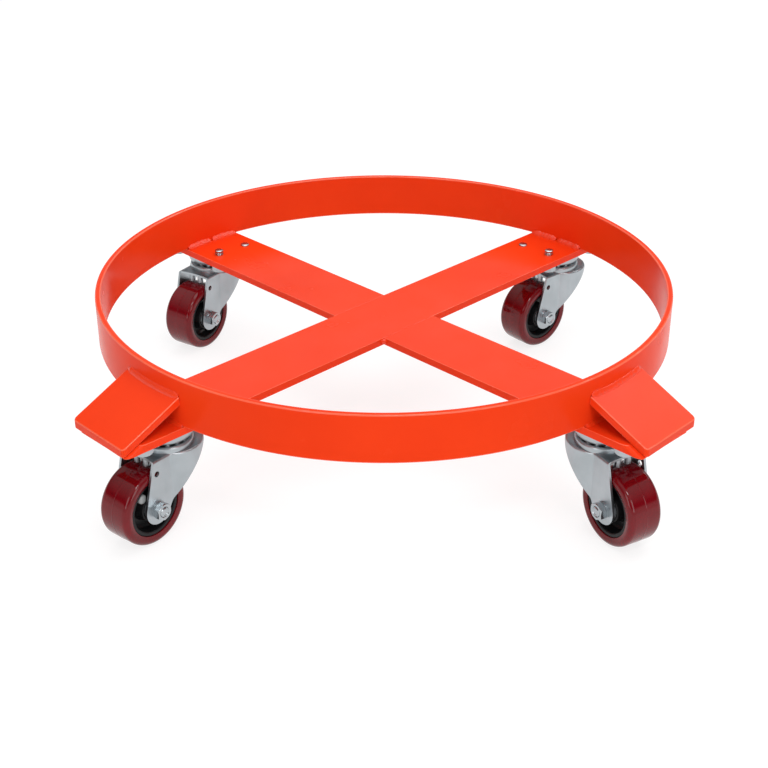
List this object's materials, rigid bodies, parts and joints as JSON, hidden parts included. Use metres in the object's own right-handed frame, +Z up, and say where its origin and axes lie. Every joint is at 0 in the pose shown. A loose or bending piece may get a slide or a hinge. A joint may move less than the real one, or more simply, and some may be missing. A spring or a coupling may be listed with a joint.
{
  "type": "drum trolley",
  "caption": "Round drum trolley: a rolled flat-bar ring welded on a flat-bar cross with sloped guard plates, on zinc-plated swivel casters with polyurethane tyres.",
  "frame": {"origin": "on the floor, under the ring's axis", "axes": "+Z up along the ring's axis; -Y toward the viewer of the picture; +X to the viewer's right; the bars of the cross lie on the diagonals"},
  "size_m": [0.612, 0.612, 0.174],
  "materials": {
    "orange_powder_coat": "glossy orange powder coat",
    "zinc_plate": "bright zinc plate on pressed steel, lightly hazed",
    "bright_zinc": "bright zinc plated fasteners",
    "ball_steel": "polished bearing steel",
    "maroon_polyurethane": "glossy maroon cast polyurethane",
    "black_core": "black moulded core, semi-matte"
  },
  "bodies": {
    "frame": {"ring_band": "orange_powder_coat", "through_bar": "orange_powder_coat", "half_bar_front_right": "orange_powder_coat", "half_bar_rear_left": "orange_powder_coat", "gusset_plate_front_left": "orange_powder_coat", "gusset_plate_front_right": "orange_powder_coat", "gusset_plate_rear_left": "orange_powder_coat", "gusset_plate_rear_right": "orange_powder_coat", "caster_bolts_long": "bright_zinc", "caster_bolts_short": "bright_zinc", "spring_washers": "zinc_plate", "top_plate_front_left": "zinc_plate", "kingpin_front_left": "zinc_plate", "lower_race_front_left": "zinc_plate", "top_plate_front_right": "zinc_plate", "kingpin_front_right": "zinc_plate", "lower_race_front_right": "zinc_plate", "top_plate_rear_left": "zinc_plate", "kingpin_rear_left": "zinc_plate", "lower_race_rear_left": "zinc_plate", "top_plate_rear_right": "zinc_plate", "kingpin_rear_right": "zinc_plate", "lower_race_rear_right": "zinc_plate"},
    "swivel_front_left": {"fork_front_left": "zinc_plate", "swivel_balls_front_left": "ball_steel", "axle_bolt_front_left": "bright_zinc", "axle_nut_front_left": "bright_zinc", "axle_sleeve_front_left": "zinc_plate", "axle_washers_front_left": "zinc_plate"},
    "wheel_front_left": {"tyre_front_left": "maroon_polyurethane", "wheel_core_front_left": "black_core", "hub_bearings_front_left": "ball_steel"},
    "swivel_front_right": {"fork_front_right": "zinc_plate", "swivel_balls_front_right": "ball_steel", "axle_bolt_front_right": "bright_zinc", "axle_nut_front_right": "bright_zinc", "axle_sleeve_front_right": "zinc_plate", "axle_washers_front_right": "zinc_plate"},
    "wheel_front_right": {"tyre_front_right": "maroon_polyurethane", "wheel_core_front_right": "black_core", "hub_bearings_front_right": "ball_steel"},
    "swivel_rear_left": {"fork_rear_left": "zinc_plate", "swivel_balls_rear_left": "ball_steel", "axle_bolt_rear_left": "bright_zinc", "axle_nut_rear_left": "bright_zinc", "axle_sleeve_rear_left": "zinc_plate", "axle_washers_rear_left": "zinc_plate"},
    "wheel_rear_left": {"tyre_rear_left": "maroon_polyurethane", "wheel_core_rear_left": "black_core", "hub_bearings_rear_left": "ball_steel"},
    "swivel_rear_right": {"fork_rear_right": "zinc_plate", "swivel_balls_rear_right": "ball_steel", "axle_bolt_rear_right": "bright_zinc", "axle_nut_rear_right": "bright_zinc", "axle_sleeve_rear_right": "zinc_plate", "axle_washers_rear_right": "zinc_plate"},
    "wheel_rear_right": {"tyre_rear_right": "maroon_polyurethane", "wheel_core_rear_right": "black_core", "hub_bearings_rear_right": "ball_steel"}
  },
  "joints": [
    {"name": "swivel_turn_front_left", "type": "hinge", "parent": "frame", "child": "swivel_front_left", "pos_m": [-0.21143, -0.21143, 0.1], "axis": [0, 0, 1], "continuous": true},
    {"name": "wheel_spin_front_left", "type": "hinge", "parent": "swivel_front_left", "child": "wheel_front_left", "pos_m": [-0.23377, -0.24003, 0.04], "axis": [0.788, -0.6157, 0], "continuous": true},
    {"name": "swivel_turn_front_right", "type": "hinge", "parent": "frame", "child": "swivel_front_right", "pos_m": [0.21143, -0.21143, 0.1], "axis": [0, 0, 1], "continuous": true},
    {"name": "wheel_spin_front_right", "type": "hinge", "parent": "swivel_front_right", "child": "wheel_front_right", "pos_m": [0.22941, -0.24296, 0.04], "axis": [0.8686, 0.4955, 0], "continuous": true},
    {"name": "swivel_turn_rear_left", "type": "hinge", "parent": "frame", "child": "swivel_rear_left", "pos_m": [-0.21143, 0.21143, 0.1], "axis": [0, 0, 1], "continuous": true},
    {"name": "wheel_spin_rear_left", "type": "hinge", "parent": "swivel_rear_left", "child": "wheel_rear_left", "pos_m": [-0.23066, 0.18064, 0.04], "axis": [0.848, -0.5299, 0], "continuous": true},
    {"name": "swivel_turn_rear_right", "type": "hinge", "parent": "frame", "child": "swivel_rear_right", "pos_m": [0.21143, 0.21143, 0.1], "axis": [0, 0, 1], "continuous": true},
    {"name": "wheel_spin_rear_right", "type": "hinge", "parent": "swivel_rear_right", "child": "wheel_rear_right", "pos_m": [0.18403, 0.18761, 0.04], "axis": [0.6561, -0.7547, 0], "continuous": true}
  ]
}
